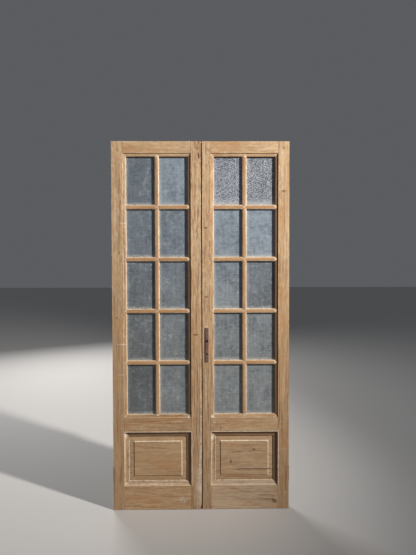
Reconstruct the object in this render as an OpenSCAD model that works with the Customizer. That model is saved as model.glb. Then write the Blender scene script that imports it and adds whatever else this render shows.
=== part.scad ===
// A pair of glazed french doors: two rebated leaves of softwood, ten panes over one
// raised panel each, hung on butt hinges, with a mortise lock in the right leaf.
// X right, Y away from the viewer, Z up, millimetres. The closed pair stands on Z = 0.

/* [Leaf] */
// Width of the closed pair over both leaves
pair_w = 1143; // [950:1:1500]
// Height of a leaf
leaf_h = 2388; // [1990:1:2870]
// Thickness of a leaf
leaf_t = 44.45; // [42:0.05:54]
// How far the two meeting stiles lap over each other
lap_w = 5; // [4:0.5:8]
// Width of the rebate lip on a meeting stile
lip_w = 12; // [11:0.5:16]
// Clearance between the two lips, front to back
lip_gap = 1.2; // [1:0.1:2]

/* [Stiles and rails] */
// Flat face of the outer stile
outer_flat = 71; // [60:1:90]
// Flat face of the meeting stile, lip included
meeting_flat = 66; // [60:1:80]
// Flat face of the top rail
top_flat = 76; // [60:1:110]
// Flat face of the middle rail
mid_flat = 95; // [70:1:120]
// Height of the middle rail's top edge above the floor
sill_z = 604; // [520:1:700]
// Flat face of the bottom rail
bottom_flat = 156; // [110:1:200]

/* [Joints] */
// Clearance at the shoulders and mitres of the frame
joint_gap = 0.1; // [0.05:0.05:0.3]
// Thickness of a tenon
tenon_t = 14; // [10:0.5:16]
// Depth of the tenon's front cheek behind the front face
tenon_d = 16; // [14:0.5:18]
// Length of a tenon in the outer stile
outer_tenon_l = 55; // [40:1:58]
// Length of a tenon in the meeting stile
meeting_tenon_l = 42; // [30:1:46]
// Clearance round a tenon in its mortise
tenon_gap = 0.15; // [0.1:0.05:0.4]
// Space beyond the end of a tenon
tenon_end_gap = 0.5; // [0.5:0.25:2]
// Radius of a peg
peg_r = 4.5; // [3.5:0.5:6]
// Radial clearance round a peg or a screw
peg_gap = 0.05; // [0.03:0.01:0.1]
// Clearance round ironwork that is let into the wood
let_in_gap = 0.1; // [0.05:0.05:0.3]

/* [Mouldings] */
// Width of the moulding round the glass
glass_mould_w = 21; // [18:1:26]
// Width of the moulding round the panel
panel_mould_w = 30; // [24:1:36]
// Step down at the start of the glass moulding
glass_quirk_d = 5; // [3:0.5:6]
// Depth of the rounded edge of the glass moulding and of the bars
glass_edge_d = 9.5; // [8:0.5:12]
// Step down at the start of the panel moulding
panel_quirk_d = 2; // [1:0.5:3]
// Depth of the hollow of the panel moulding
panel_hollow_d = 13; // [10:0.5:14]
// Width of the bead at the inner edge of the panel moulding
panel_bead_w = 7; // [5:0.5:10]
// Rise of that bead from the hollow
panel_bead_rise = 1.5; // [0.5:0.5:2]
// Facets of each rounded moulding
curve_steps = 8; // [5:1:12]

/* [Glazing] */
// Width of a glazing bar
bar_w = 28; // [26:1:34]
// Depth of a bar's ridge behind the front face
bar_ridge_d = 5.5; // [5.1:0.1:7]
// Height of the lowest pane over that of the others, which are alike
low_row = 1.054; // [1:0.001:1.3]
// Width of a bar behind the glass
web_w = 12; // [10:0.5:14]
// Depth of the back of the lip that the glass lies against
lip_back_d = 20; // [19:0.5:21]
// Width of the glass rebate behind the lip
rebate_w = 10; // [8:0.5:11]
// Thickness of a pane
glass_t = 4; // [3:0.5:5]
// Clearance at the edges of a pane
glass_edge_gap = 1.5; // [1:0.25:2]
// Clearance in front of a pane and behind it
glass_gap = 0.1; // [0.05:0.05:0.2]
// Width of a glazing bead
bead_w = 7.5; // [6:0.5:9]
// Thickness of a glazing bead, front to back
bead_t = 13; // [8:1:16]
// Thickness of a bead at its thin edge
bead_nose = 3; // [2:0.5:4]
// Length of the stub tenon of a glazing bar
stub_l = 10; // [6:1:12]

/* [Panel] */
// Depth of the front of the panel's tongue
tongue_d = 17; // [16:0.5:18]
// Thickness of the panel's tongue
tongue_t = 10; // [8:0.5:12]
// Depth of the groove for the tongue
groove_w = 10; // [8:0.5:12]
// Clearance at the edges of the panel, for the wood to move
panel_edge_gap = 1.5; // [1:0.5:3]
// Width of the bevelled margin round the raised field
margin_w = 31; // [24:1:44]
// Rise of the margin from the tongue to the foot of the field
margin_rise = 3.5; // [2:0.5:4.5]
// Step up from the margin to the field
field_step = 3.5; // [2:0.5:5]
// Width of that step's slope
field_slope = 4; // [1:0.5:6]

/* [Hinges] */
// Height of a hinge
hinge_h = 100; // [90:5:120]
// Height of the lowest and distance from the top of the highest hinge, to their middles
hinge_inset = 230; // [180:5:300]
// Width of a flap along the stile
flap_w = 30; // [26:1:34]
// Thickness of a flap
flap_t = 3; // [2.5:0.5:3.5]
// Gap between the two flaps of the closed hinge
flap_gap = 1.5; // [1:0.25:2.5]
// Outer radius of a knuckle
knuckle_r = 6; // [5.5:0.5:7]
// Distance of the hinge axis behind the back face
axis_out = 6.5; // [6.5:0.5:9]
// Radius of the hinge pin
pin_r = 3; // [2.5:0.5:3.5]
// Radial running clearance of the pin
pin_gap = 0.05; // [0.03:0.01:0.1]
// Gap between knuckles
knuckle_gap = 0.4; // [0.3:0.1:0.8]
// Radius of a hinge screw's shank and of its hole in a flap
screw_r = 2.5; // [2:0.25:3]
// Radius of a hinge screw's head
screw_head_r = 4.5; // [4:0.25:5]
// Length of a hinge screw
screw_l = 30; // [20:1:36]
// Spacing of the screws up the flap
screw_pitch_z = 60; // [50:1:64]
// Spacing of the screws across the flap
screw_pitch_y = 12; // [10:1:14]

/* [Lock] */
// Distance of the lock plates' middle from the middle of the pair
plate_x = 36.5; // [32:0.5:40]
// Width of a lock plate
plate_w = 22; // [20:1:28]
// Height of a lock plate
plate_h = 222; // [190:2:240]
// Thickness of a lock plate
plate_t = 3; // [2.5:0.5:4]
// How far the lock plates stand proud of the leaf
plate_proud = 2.5; // [0.5:0.5:3]
// Height of the lock plates' middle above the floor
plate_z = 1077; // [1000:1:1120]
// Distance of the spindle and the keyhole from the middle of the pair
spindle_x = 38.5; // [35:0.5:40]
// Height of the spindle above the plates' middle
spindle_up = 26; // [20:1:36]
// Distance from the spindle down to the keyhole
key_down = 78; // [72:1:84]
// Radius of the spindle hole in a plate
spindle_hole_r = 6; // [4.5:0.25:6.5]
// Side of the square hole through the follower
spindle_sq = 7.2; // [6:0.1:8]
// Throw of the latch bolt out of the forend
latch_out = 5; // [4:0.5:5]
// Height of each bolt
bolt_h = 18; // [14:1:20]
// Clearance round a bolt in the forend and the strike
bolt_gap = 0.25; // [0.2:0.05:0.5]
// Thickness of the forend and of the strike plate
forend_t = 2.5; // [2:0.5:3]

/* [Old marks] */
// Height of the slot left by a lost bolt, near the top of the left meeting stile
slot_h = 44; // [30:1:60]
// Width of that slot
slot_w = 7; // [5:0.5:10]
// Distance of the slot's middle from the end of the lip
slot_in = 16.5; // [14:0.5:20]
// Depth of that slot
slot_depth = 7; // [4:0.5:10]
// Distance from the top of the leaf down to that slot
slot_down = 68; // [60:1:90]
// Height of the chip broken from the foot of the left lip
chip_h = 42; // [20:1:60]
// Width of that chip
chip_w = 9; // [5:0.5:11]

/* [Hidden] */

eps = 1;
LEFT = -1;
RIGHT = 1;
half_w = pair_w / 2;
leaf_w = (pair_w + lap_w) / 2;
lip_half = (leaf_t - lip_gap) / 2;

// Across a leaf: u runs from the outer edge (0) to the end of the lip (leaf_w).
open_u0 = outer_flat;
open_u1 = leaf_w - meeting_flat;
day_u0 = open_u0 + glass_mould_w;
day_u1 = open_u1 - glass_mould_w;
bar_u = (day_u0 + day_u1) / 2;
stile_back_u = leaf_w - lip_w;

// Up a leaf.
top_z = leaf_h - top_flat;
mid_z = sill_z - mid_flat;
day_z0 = sill_z + glass_mould_w;
day_z1 = top_z - glass_mould_w;
row_h = (day_z1 - day_z0 - 4 * bar_w) / (4 + low_row);
function bar_z(i) = day_z1 - i * (row_h + bar_w) + bar_w / 2;

// Sections: [distance in from the flat edge, depth behind the front face].
function curve(w, d0, d1) =
    [for (i = [0 : curve_steps]) let (t = 90 * i / curve_steps) [w * sin(t), d0 + (d1 - d0) * (1 - cos(t))]];
function hollow(w, d0, d1) =
    [for (i = [0 : curve_steps]) let (t = 90 * i / curve_steps) [w * (1 - cos(t)), d0 + (d1 - d0) * sin(t)]];
function backwards(list) = [for (i = [len(list) - 1 : -1 : 0]) list[i]];
glass_curve = curve(glass_mould_w, glass_quirk_d, glass_edge_d);
panel_curve = hollow(panel_mould_w - panel_bead_w, panel_quirk_d, panel_hollow_d);
wall_a = glass_mould_w - rebate_w;
glass_section = concat(glass_curve, [
    [glass_mould_w, lip_back_d], [wall_a, lip_back_d], [wall_a, leaf_t], [0, leaf_t]
]);
panel_bead_d = panel_hollow_d - panel_bead_rise;
panel_section = concat(panel_curve, [
    [panel_mould_w - panel_bead_w + panel_bead_rise, panel_bead_d],
    [panel_mould_w - panel_bead_rise, panel_bead_d], [panel_mould_w, panel_hollow_d],
    [panel_mould_w, tongue_d],
    [panel_mould_w - groove_w, tongue_d], [panel_mould_w - groove_w, tongue_d + tongue_t],
    [panel_mould_w, tongue_d + tongue_t], [panel_mould_w, leaf_t], [0, leaf_t]
]);
// The end of a glazing bar, scribed over the moulding.
scribe = concat([[0, -eps]], glass_curve, [
    [glass_mould_w, lip_back_d], [wall_a, lip_back_d], [wall_a, leaf_t + eps]
]);
ridge_half = 2;
bar_curve = [
    for (p = curve(bar_w / 2 - ridge_half, bar_ridge_d, glass_edge_d)) [p[0] + ridge_half, p[1]]
];
half_bar = concat(bar_curve, [
    [bar_w / 2, lip_back_d], [web_w / 2, lip_back_d], [web_w / 2, leaf_t]
]);
bar_section = concat(half_bar, [for (p = backwards(half_bar)) [-p[0], p[1]]]);
web_split_d = (lip_back_d + leaf_t) / 2;
neck = 1.5;

// Tenons, as [lowest, highest], stand in from a rail's edges, and more from a leaf's two ends.
tenon_in = 8;
tenon_in_end = 21;
top_tenon = [top_z + tenon_in, leaf_h - tenon_in_end];
mid_tenon = [mid_z + tenon_in, sill_z - tenon_in];
bottom_tenon = [tenon_in_end, bottom_flat - tenon_in];
tenons = [top_tenon, mid_tenon, bottom_tenon];

// One peg in a top joint, and two in each of the others, at these parts of the tenon's height.
function part_way(span, part) = span[0] + (span[1] - span[0]) * part;
top_pegs = [part_way(top_tenon, 1 / 3)];
mid_pegs = [part_way(mid_tenon, 1 / 4), part_way(mid_tenon, 3 / 4)];
bottom_pegs = [part_way(bottom_tenon, 1 / 4), part_way(bottom_tenon, 3 / 4)];
peg_rows = concat(top_pegs, mid_pegs, bottom_pegs);
outer_peg_u = open_u0 - 0.45 * outer_tenon_l;
meeting_peg_u = open_u1 + 0.55 * meeting_tenon_l;

// Stub tenon of a glazing bar.
stub_half = web_w / 3;
stub_d0 = lip_back_d + 5;
stub_d1 = leaf_t - 6;

// The hinges stand outside the leaf's outer edge, at these heights.
hinge_rows = [hinge_inset, leaf_h / 2, leaf_h - hinge_inset];
axis_u = -flap_gap / 2;
axis_d = leaf_t + axis_out;
knuckle_h = hinge_h / 5;
pin_head_h = 4;
pin_head_r = knuckle_r - 1;
flap_end_d = axis_d - knuckle_r - knuckle_gap;
screw_d = leaf_t - flap_w / 2;
screw_rows = [-screw_pitch_z / 2, screw_pitch_z / 2];
screw_cols = [screw_d - screw_pitch_y / 2, screw_d + screw_pitch_y / 2];

// The whole stands with the middle of its depth on Y = 0.
front_y = (plate_proud - axis_d - knuckle_r) / 2;

// The lock lies in the back half of the right meeting stile.
spindle_z = plate_z + spindle_up;
key_z = spindle_z - key_down;
key_r = 4;
key_slot_w = 4;
key_slot_h = 12;
spindle_way_r = 7;

// Lock case, with its forend flush in the edge of the back lip.
case_wall = 1.5;
case_t = 14;
case_d1 = leaf_t - 4;
case_d0 = case_d1 - case_t;
forend_x = -lap_w / 2;
forend_side = 2;
case_x0 = forend_x + forend_t;
case_x1 = spindle_x + 16;
case_half_h = 90;
forend_half_h = 105;
inside_x1 = case_x1 - case_wall;

// Bolts, and the follower that draws the latch: its arm pushes the latch's hook.
bolt_side_gap = 0.5;
bolt_d0 = case_d0 + case_wall + bolt_side_gap;
bolt_d1 = case_d1 - case_wall - bolt_side_gap;
dead_z = plate_z - 26;
hub_r = 7;
hub_side_gap = 0.2;
boss_r = 6;
arm_l = 11;
arm_w = 4;
arm_gap = 0.5;
latch_head_x = 14;
latch_neck_w = 6;
latch_tail_h = 5;
latch_nose = [4, 6];
dead_head_x = 20;
dead_tail_x = 44;
dead_tail_h = 8;
dead_tail_in = 2;

// Middle of the old slot in the left meeting stile, across the leaf.
slot_u = leaf_w - slot_in;
// Steps of the split at a stile's foot: parts of its width and of its height.
chip_steps = [[1 / 3, 0.7], [1 / 2, 0.45], [1, 0.25]];

// Strike plate in the left leaf's back shoulder.
strike_x = lap_w / 2 - lip_w;
strike_side = 1;
strike_gap = 1;
strike_end = 30;
strike_depth = 10;

module leaf(side) {
    if (side == LEFT) {
        translate([-half_w, front_y, 0]) children();
    } else {
        translate([half_w, front_y, 0]) mirror([1, 0, 0]) children();
    }
}

module box(a, b) {
    translate(a) cube(b - a);
}

// A plate seen from the front: points are [across, up], between two depths.
module from_front(points, d0, d1) {
    translate([0, d1, 0]) rotate([90, 0, 0]) linear_extrude(d1 - d0) polygon(points);
}

// A peg or hole from front to back.
module rod_y(x, z, r, d0, d1) {
    translate([x, d1, z]) rotate([90, 0, 0]) cylinder(h = d1 - d0, r = r, $fn = 48);
}

// A strip of moulding running up from the origin, mitred at both ends.
module strip(section, w, length) {
    intersection() {
        linear_extrude(length) polygon(section);
        from_front([[0, 0], [w, w], [w, length - w], [0, length]], -eps, leaf_t + eps);
    }
}

module glass_strip(length) {
    strip(glass_section, glass_mould_w, length);
}

module panel_strip(length) {
    strip(panel_section, panel_mould_w, length);
}

module strip_under(z, is_glass) {
    translate([open_u0 + joint_gap, 0, z]) rotate([0, 90, 0]) {
        if (is_glass) glass_strip(open_u1 - open_u0 - 2 * joint_gap);
        else panel_strip(open_u1 - open_u0 - 2 * joint_gap);
    }
}

module strip_over(z, is_glass) {
    translate([open_u0 + joint_gap, 0, z]) mirror([1, 0, -1]) {
        if (is_glass) glass_strip(open_u1 - open_u0 - 2 * joint_gap);
        else panel_strip(open_u1 - open_u0 - 2 * joint_gap);
    }
}

module stile_strips() {
    translate([0, 0, sill_z]) glass_strip(top_z - sill_z);
    translate([0, 0, bottom_flat]) panel_strip(mid_z - bottom_flat);
}

module mortises(u0, u1) {
    for (t = tenons) {
        box([u0, tenon_d - tenon_gap, t[0] - tenon_gap],
            [u1, tenon_d + tenon_t + tenon_gap, t[1] + tenon_gap]);
    }
}

module peg_holes(u) {
    for (z = peg_rows) rod_y(u, z, peg_r + peg_gap, -eps, leaf_t + eps);
}

module stub_mortises(u0, u1) {
    for (i = [1 : 4]) {
        box([u0, stub_d0 - tenon_gap, bar_z(i) - stub_half - tenon_gap],
            [u1, stub_d1 + tenon_gap, bar_z(i) + stub_half + tenon_gap]);
    }
}

module hinge_recesses() {
    for (z = hinge_rows) {
        box([-eps, leaf_t - flap_w - let_in_gap, z - hinge_h / 2 - let_in_gap],
            [flap_t, leaf_t + eps, z + hinge_h / 2 + let_in_gap]);
        for (dz = screw_rows, d = screw_cols) {
            translate([0, d, z + dz]) rotate([0, 90, 0])
                cylinder(h = screw_l + tenon_end_gap, r = screw_r + peg_gap, $fn = 32);
        }
    }
}

module outer_stile() {
    difference() {
        union() {
            cube([open_u0, leaf_t, leaf_h]);
            translate([open_u0, 0, 0]) stile_strips();
        }
        mortises(open_u0 - outer_tenon_l - tenon_end_gap, open_u0 + eps);
        peg_holes(outer_peg_u);
        stub_mortises(open_u0 + wall_a - stub_l - tenon_end_gap, open_u0 + wall_a + eps);
        hinge_recesses();
    }
}

// The left leaf's lip is at the front and the right leaf's at the back, so the right leaf opens first.
module meeting_stile(side) {
    lip_d = side == LEFT ? 0 : leaf_t - lip_half;
    difference() {
        union() {
            box([open_u1, lip_d, 0], [leaf_w, lip_d + lip_half, leaf_h]);
            box([open_u1, 0, 0], [stile_back_u, leaf_t, leaf_h]);
            translate([open_u1, 0, 0]) mirror([1, 0, 0]) stile_strips();
        }
        mortises(open_u1 - eps, open_u1 + meeting_tenon_l + tenon_end_gap);
        peg_holes(meeting_peg_u);
        stub_mortises(open_u1 - wall_a - eps, open_u1 - wall_a + stub_l + tenon_end_gap);
    }
}

// A slot and a chip in the left meeting stile, from its years of use.
module old_marks() {
    z1 = leaf_h - slot_down;
    z0 = z1 - slot_h;
    from_front([
        [slot_u - slot_w / 2, z1], [slot_u + slot_w / 3, z1 - slot_w], [slot_u + slot_w, z0 + slot_w],
        [slot_u + slot_w, z0], [slot_u + slot_w / 3, z0], [slot_u - slot_w / 3, z0 + 2 * slot_w]
    ], -eps, slot_depth);
    from_front([
        [leaf_w + eps, -eps], [leaf_w + eps, chip_h],
        for (p = chip_steps) [leaf_w - p[0] * chip_w, p[1] * chip_h],
        [leaf_w - chip_w, -eps]
    ], -eps, lip_half + eps);
}

module rail_core(z0, z1, tenon) {
    box([open_u0 + joint_gap, 0, z0], [open_u1 - joint_gap, leaf_t, z1]);
    box([open_u0 - outer_tenon_l, tenon_d, tenon[0]],
        [open_u1 + meeting_tenon_l, tenon_d + tenon_t, tenon[1]]);
}

module rail_peg_holes(rows) {
    for (z = rows, u = [outer_peg_u, meeting_peg_u]) rod_y(u, z, peg_r + peg_gap, -eps, leaf_t + eps);
}

module bar_mortise(z0, z1) {
    box([bar_u - stub_half - tenon_gap, stub_d0 - tenon_gap, z0],
        [bar_u + stub_half + tenon_gap, stub_d1 + tenon_gap, z1]);
}

module top_rail() {
    difference() {
        union() {
            rail_core(top_z, leaf_h, top_tenon);
            strip_under(top_z, true);
        }
        rail_peg_holes(top_pegs);
        bar_mortise(top_z - wall_a - eps, top_z - wall_a + stub_l + tenon_end_gap);
    }
}

module mid_rail() {
    difference() {
        union() {
            rail_core(mid_z, sill_z, mid_tenon);
            strip_over(sill_z, true);
            strip_under(mid_z, false);
        }
        rail_peg_holes(mid_pegs);
        bar_mortise(sill_z + wall_a - stub_l - tenon_end_gap, sill_z + wall_a + eps);
    }
}

module bottom_rail() {
    difference() {
        union() {
            rail_core(0, bottom_flat, bottom_tenon);
            strip_over(bottom_flat, false);
        }
        rail_peg_holes(bottom_pegs);
    }
}

module panel() {
    inset = panel_mould_w - groove_w + panel_edge_gap;
    u0 = open_u0 + inset;
    u1 = open_u1 - inset;
    z0 = bottom_flat + inset;
    z1 = mid_z - inset;
    foot = groove_w - panel_edge_gap + margin_w;
    front = tongue_d + joint_gap;
    back = tongue_d + tongue_t - joint_gap;
    edge = [
        [0, front], [groove_w - panel_edge_gap, front], [foot, front - margin_rise],
        [foot + field_slope, front - margin_rise - field_step]
    ];
    rear = [
        [foot + field_slope, back + margin_rise + field_step], [foot, back + margin_rise],
        [groove_w - panel_edge_gap, back], [0, back]
    ];
    intersection() {
        translate([0, 0, z0]) linear_extrude(z1 - z0) polygon(concat(
            [for (p = rear) [u0 + p[0], p[1]]], [for (p = edge) [u0 + p[0], p[1]]],
            [for (p = backwards(edge)) [u1 - p[0], p[1]]], [for (p = backwards(rear)) [u1 - p[0], p[1]]]));
        translate([u0, 0, 0]) rotate([90, 0, 90]) linear_extrude(u1 - u0) polygon(concat(
            [for (p = rear) [p[1], z0 + p[0]]], [for (p = edge) [p[1], z0 + p[0]]],
            [for (p = backwards(edge)) [p[1], z1 - p[0]]], [for (p = backwards(rear)) [p[1], z1 - p[0]]]));
    }
}

// A glazing bar running up from the origin, scribed to the moulding at both ends.
module bar_blank(length) {
    intersection() {
        linear_extrude(length) polygon(bar_section);
        translate([-bar_w, 0, 0]) rotate([90, 0, 90]) linear_extrude(2 * bar_w) polygon(concat(
            [for (p = scribe) [p[1], p[0] + joint_gap]],
            [for (p = backwards(scribe)) [p[1], length - p[0] - joint_gap]]));
    }
    box([-stub_half, stub_d0, wall_a - stub_l], [stub_half, stub_d1, wall_a + eps]);
    box([-stub_half, stub_d0, length - wall_a - eps], [stub_half, stub_d1, length - wall_a + stub_l]);
}

// Where bars cross, the mouldings meet in mitres and the webs are halved. The upright bar keeps a
// narrow neck in the middle, and the level bar goes through on the front half of the web.
module vertical_bar() {
    g = joint_gap;
    h = bar_w;
    difference() {
        translate([bar_u, 0, sill_z]) bar_blank(top_z - sill_z);
        for (i = [1 : 4]) translate([bar_u, 0, bar_z(i)]) {
            for (s = [-1, 1]) {
                from_front([[s * neck, 0], [s * (neck + h), h], [s * (neck + h), -h]], -eps, lip_back_d);
            }
            box([-web_w, lip_back_d - g, -web_w / 2 - g], [web_w, web_split_d + g, web_w / 2 + g]);
        }
    }
}

module horizontal_bar(i) {
    g = joint_gap;
    h = bar_w;
    n = neck + g;
    difference() {
        translate([open_u0, 0, bar_z(i)]) mirror([1, 0, -1]) bar_blank(open_u1 - open_u0);
        translate([bar_u, 0, bar_z(i)]) {
            from_front([[-n, 0], [-n - h, h], [n + h, h], [n, 0], [n + h, -h], [-n - h, -h]],
                -eps, lip_back_d + g);
            box([-web_w / 2 - g, web_split_d, -web_w], [web_w / 2 + g, leaf_t + eps, web_w]);
        }
    }
}

// Rebate opening of a pane, [from, to], across and up. Column 1 is at the outer stile, row 1 at the top.
function pane_u(column) = column == 1
    ? [day_u0 - rebate_w, bar_u - web_w / 2] : [bar_u + web_w / 2, day_u1 + rebate_w];
function pane_z(row) = [
    row == 5 ? day_z0 - rebate_w : bar_z(row) + web_w / 2,
    row == 1 ? day_z1 + rebate_w : bar_z(row - 1) - web_w / 2
];
function column_of(side, i) = (i % 2 == 1) == (side == LEFT) ? 1 : 2;
function row_of(i) = floor((i + 1) / 2);
glass_d = lip_back_d + glass_gap;
bead_d = glass_d + glass_t + glass_gap;

module pane(side, i) {
    u = pane_u(column_of(side, i));
    z = pane_z(row_of(i));
    g = glass_edge_gap;
    box([u[0] + g, glass_d, z[0] + g], [u[1] - g, glass_d + glass_t, z[1] - g]);
}

// A bead running up from the origin against the rebate wall, mitred at both ends.
module bead(length) {
    g = joint_gap;
    w = bead_w + eps;
    intersection() {
        translate([g, 0, 0]) linear_extrude(length) polygon([
            [0, bead_d], [bead_w, bead_d], [bead_w, bead_d + bead_nose],
            [bead_nose, bead_d + bead_t], [0, bead_d + bead_t]
        ]);
        from_front([[0, g], [w, w + g], [w, length - w - g], [0, length - g]], 0, leaf_t);
    }
}

module beads() {
    for (column = [1, 2], row = [1 : 5]) {
        u = pane_u(column);
        z = pane_z(row);
        translate([u[0], 0, z[0]]) bead(z[1] - z[0]);
        translate([u[1], 0, z[0]]) mirror([1, 0, 0]) bead(z[1] - z[0]);
        translate([u[0], 0, z[1]]) rotate([0, 90, 0]) bead(u[1] - u[0]);
        translate([u[0], 0, z[0]]) mirror([1, 0, -1]) bead(u[1] - u[0]);
    }
}

module pegs() {
    for (z = peg_rows, u = [outer_peg_u, meeting_peg_u]) rod_y(u, z, peg_r, 0, leaf_t);
}

// Hinge parts, in the leaf's own across, depth and height, for a hinge at height 0.
module knuckles(first, count) {
    for (k = [first : 2 : count - 1]) {
        translate([axis_u, axis_d, k * knuckle_h - hinge_h / 2 + knuckle_gap / 2])
            cylinder(h = knuckle_h - knuckle_gap, r = knuckle_r, $fn = 64);
    }
}

module knuckle_tabs(u0, first) {
    for (k = [first : 2 : 4]) {
        z0 = k * knuckle_h - hinge_h / 2 + knuckle_gap / 2;
        box([u0, flap_end_d - eps, z0], [u0 + flap_t, axis_d, z0 + knuckle_h - knuckle_gap]);
    }
}

module hinge_bore() {
    translate([axis_u, axis_d, -hinge_h]) cylinder(h = 2 * hinge_h, r = pin_r + pin_gap, $fn = 64);
}

module flap(u0, first, head_side) {
    difference() {
        union() {
            box([u0, leaf_t - flap_w, -hinge_h / 2], [u0 + flap_t, flap_end_d, hinge_h / 2]);
            knuckle_tabs(u0, first);
            knuckles(first, 5);
        }
        hinge_bore();
        for (dz = screw_rows, d = screw_cols) {
            translate([u0 - eps, d, dz]) rotate([0, 90, 0])
                cylinder(h = flap_t + 2 * eps, r = screw_r + peg_gap, $fn = 32);
            translate([head_side, d, dz]) rotate([0, head_side == u0 ? 90 : -90, 0])
                cylinder(h = flap_t / 2, r1 = screw_head_r + peg_gap, r2 = screw_r + peg_gap, $fn = 32);
        }
    }
}

module hinge_leaves() {
    for (z = hinge_rows) translate([0, 0, z]) flap(0, 0, 0);
}

module frame_leaves() {
    for (z = hinge_rows) translate([0, 0, z]) flap(-flap_gap - flap_t, 1, -flap_gap);
}

module pins() {
    for (z = hinge_rows) {
        translate([axis_u, axis_d, z - hinge_h / 2 - pin_head_h]) {
            cylinder(h = hinge_h + 2 * pin_head_h, r = pin_r, $fn = 64);
            cylinder(h = pin_head_h, r = pin_head_r, $fn = 64);
        }
        translate([axis_u, axis_d, z + hinge_h / 2]) cylinder(h = pin_head_h, r = pin_head_r, $fn = 64);
    }
}

module hinge_screws() {
    for (z = hinge_rows, dz = screw_rows, d = screw_cols) {
        translate([0, d, z + dz]) rotate([0, 90, 0]) {
            cylinder(h = screw_l, r = screw_r, $fn = 32);
            cylinder(h = flap_t / 2, r1 = screw_head_r, r2 = screw_r, $fn = 32);
        }
    }
}

// Lock parts, in distance from the middle of the pair, depth and height.
module lock_holes(d0, d1, r) {
    rod_y(spindle_x, spindle_z, r, d0, d1);
    rod_y(spindle_x, key_z, key_r, d0, d1);
    box([spindle_x - key_slot_w / 2, d0, key_z - key_slot_h], [spindle_x + key_slot_w / 2, d1, key_z]);
}

module lock_plate(d0) {
    difference() {
        box([plate_x - plate_w / 2, d0, plate_z - plate_h / 2],
            [plate_x + plate_w / 2, d0 + plate_t, plate_z + plate_h / 2]);
        lock_holes(d0 - eps, d0 + plate_t + eps, spindle_hole_r);
    }
}

module plates() {
    lock_plate(-plate_proud);
    lock_plate(leaf_t - plate_t + plate_proud);
}

module lock_pockets() {
    g = let_in_gap;
    let_in = plate_t - plate_proud;
    for (d = [-eps, leaf_t - let_in]) {
        box([plate_x - plate_w / 2 - g, d, plate_z - plate_h / 2 - g],
            [plate_x + plate_w / 2 + g, d + let_in + eps, plate_z + plate_h / 2 + g]);
    }
    box([forend_x - eps, case_d0 - forend_side - g, plate_z - forend_half_h - g],
        [case_x0, case_d1 + forend_side + g, plate_z + forend_half_h + g]);
    box([forend_x, case_d0 - g, plate_z - case_half_h - g],
        [case_x1 + tenon_end_gap, case_d1 + g, plate_z + case_half_h + g]);
    lock_holes(-eps, leaf_t + eps, spindle_way_r);
}

module bolt_slot(x0, x1, z) {
    g = bolt_gap;
    box([x0, bolt_d0 - g, z - bolt_h / 2 - g], [x1, bolt_d1 + g, z + bolt_h / 2 + g]);
}

module case_body() {
    difference() {
        union() {
            box([case_x0, case_d0, plate_z - case_half_h], [case_x1, case_d1, plate_z + case_half_h]);
            box([forend_x, case_d0 - forend_side, plate_z - forend_half_h],
                [case_x0, case_d1 + forend_side, plate_z + forend_half_h]);
        }
        box([case_x0 + case_wall, case_d0 + case_wall, plate_z - case_half_h + case_wall],
            [inside_x1, case_d1 - case_wall, plate_z + case_half_h - case_wall]);
        bolt_slot(forend_x - eps, case_x0 + case_wall + eps, spindle_z);
        bolt_slot(forend_x - eps, case_x0 + case_wall + eps, dead_z);
        lock_holes(case_d0 - eps, case_d1 + eps, boss_r + pin_gap);
    }
}

module latch() {
    x0 = forend_x - latch_out;
    x1 = latch_head_x;
    hook_x = spindle_x + arm_w / 2 + arm_gap;
    end_x = inside_x1 - latch_out - bolt_side_gap;
    tail_z = spindle_z + arm_l + 2 * bolt_side_gap;
    top = tail_z + latch_tail_h;
    translate([0, 0, spindle_z - bolt_h / 2]) linear_extrude(bolt_h) polygon([
        [x0, bolt_d0], [x1, bolt_d0], [x1, bolt_d1],
        [x0 + latch_nose[0], bolt_d1], [x0, bolt_d1 - latch_nose[1]]
    ]);
    box([x1 - latch_neck_w, bolt_d0, spindle_z], [x1, bolt_d1, top]);
    box([x1 - latch_neck_w, bolt_d0, tail_z], [end_x, bolt_d1, top]);
    box([hook_x, bolt_d0, spindle_z + hub_r + bolt_side_gap], [end_x, bolt_d1, top]);
}

module dead() {
    box([forend_x, bolt_d0, dead_z - bolt_h / 2], [dead_head_x, bolt_d1, dead_z + bolt_h / 2]);
    box([dead_head_x - eps, bolt_d0 + dead_tail_in, dead_z - dead_tail_h / 2],
        [dead_tail_x, bolt_d1 - dead_tail_in, dead_z + dead_tail_h / 2]);
}

module hub() {
    difference() {
        union() {
            rod_y(spindle_x, spindle_z, hub_r, case_d0 + case_wall + hub_side_gap,
                case_d1 - case_wall - hub_side_gap);
            rod_y(spindle_x, spindle_z, boss_r, case_d0, case_d1);
            box([spindle_x - arm_w / 2, bolt_d0, spindle_z],
                [spindle_x + arm_w / 2, bolt_d1, spindle_z + arm_l]);
        }
        box([spindle_x - spindle_sq / 2, case_d0 - eps, spindle_z - spindle_sq / 2],
            [spindle_x + spindle_sq / 2, case_d1 + eps, spindle_z + spindle_sq / 2]);
    }
}

module strike_holes(x0, x1) {
    for (z = [spindle_z, dead_z]) {
        box([x0, bolt_d0 - strike_gap, z - bolt_h / 2 - strike_gap],
            [x1, bolt_d1 + strike_gap, z + bolt_h / 2 + strike_gap]);
    }
}

module strike() {
    difference() {
        box([strike_x - forend_t, case_d0 - strike_side, dead_z - strike_end],
            [strike_x, case_d1 + strike_side, spindle_z + strike_end]);
        strike_holes(strike_x - forend_t - eps, strike_x + eps);
    }
}

module strike_pockets() {
    g = let_in_gap;
    box([strike_x - forend_t, case_d0 - strike_side - g, dead_z - strike_end - g],
        [strike_x + eps, case_d1 + strike_side + g, spindle_z + strike_end + g]);
    strike_holes(strike_x - forend_t - strike_depth, strike_x);
}

wood = "BurlyWood";
iron = "SaddleBrown";
pale = "LightSteelBlue";

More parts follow.
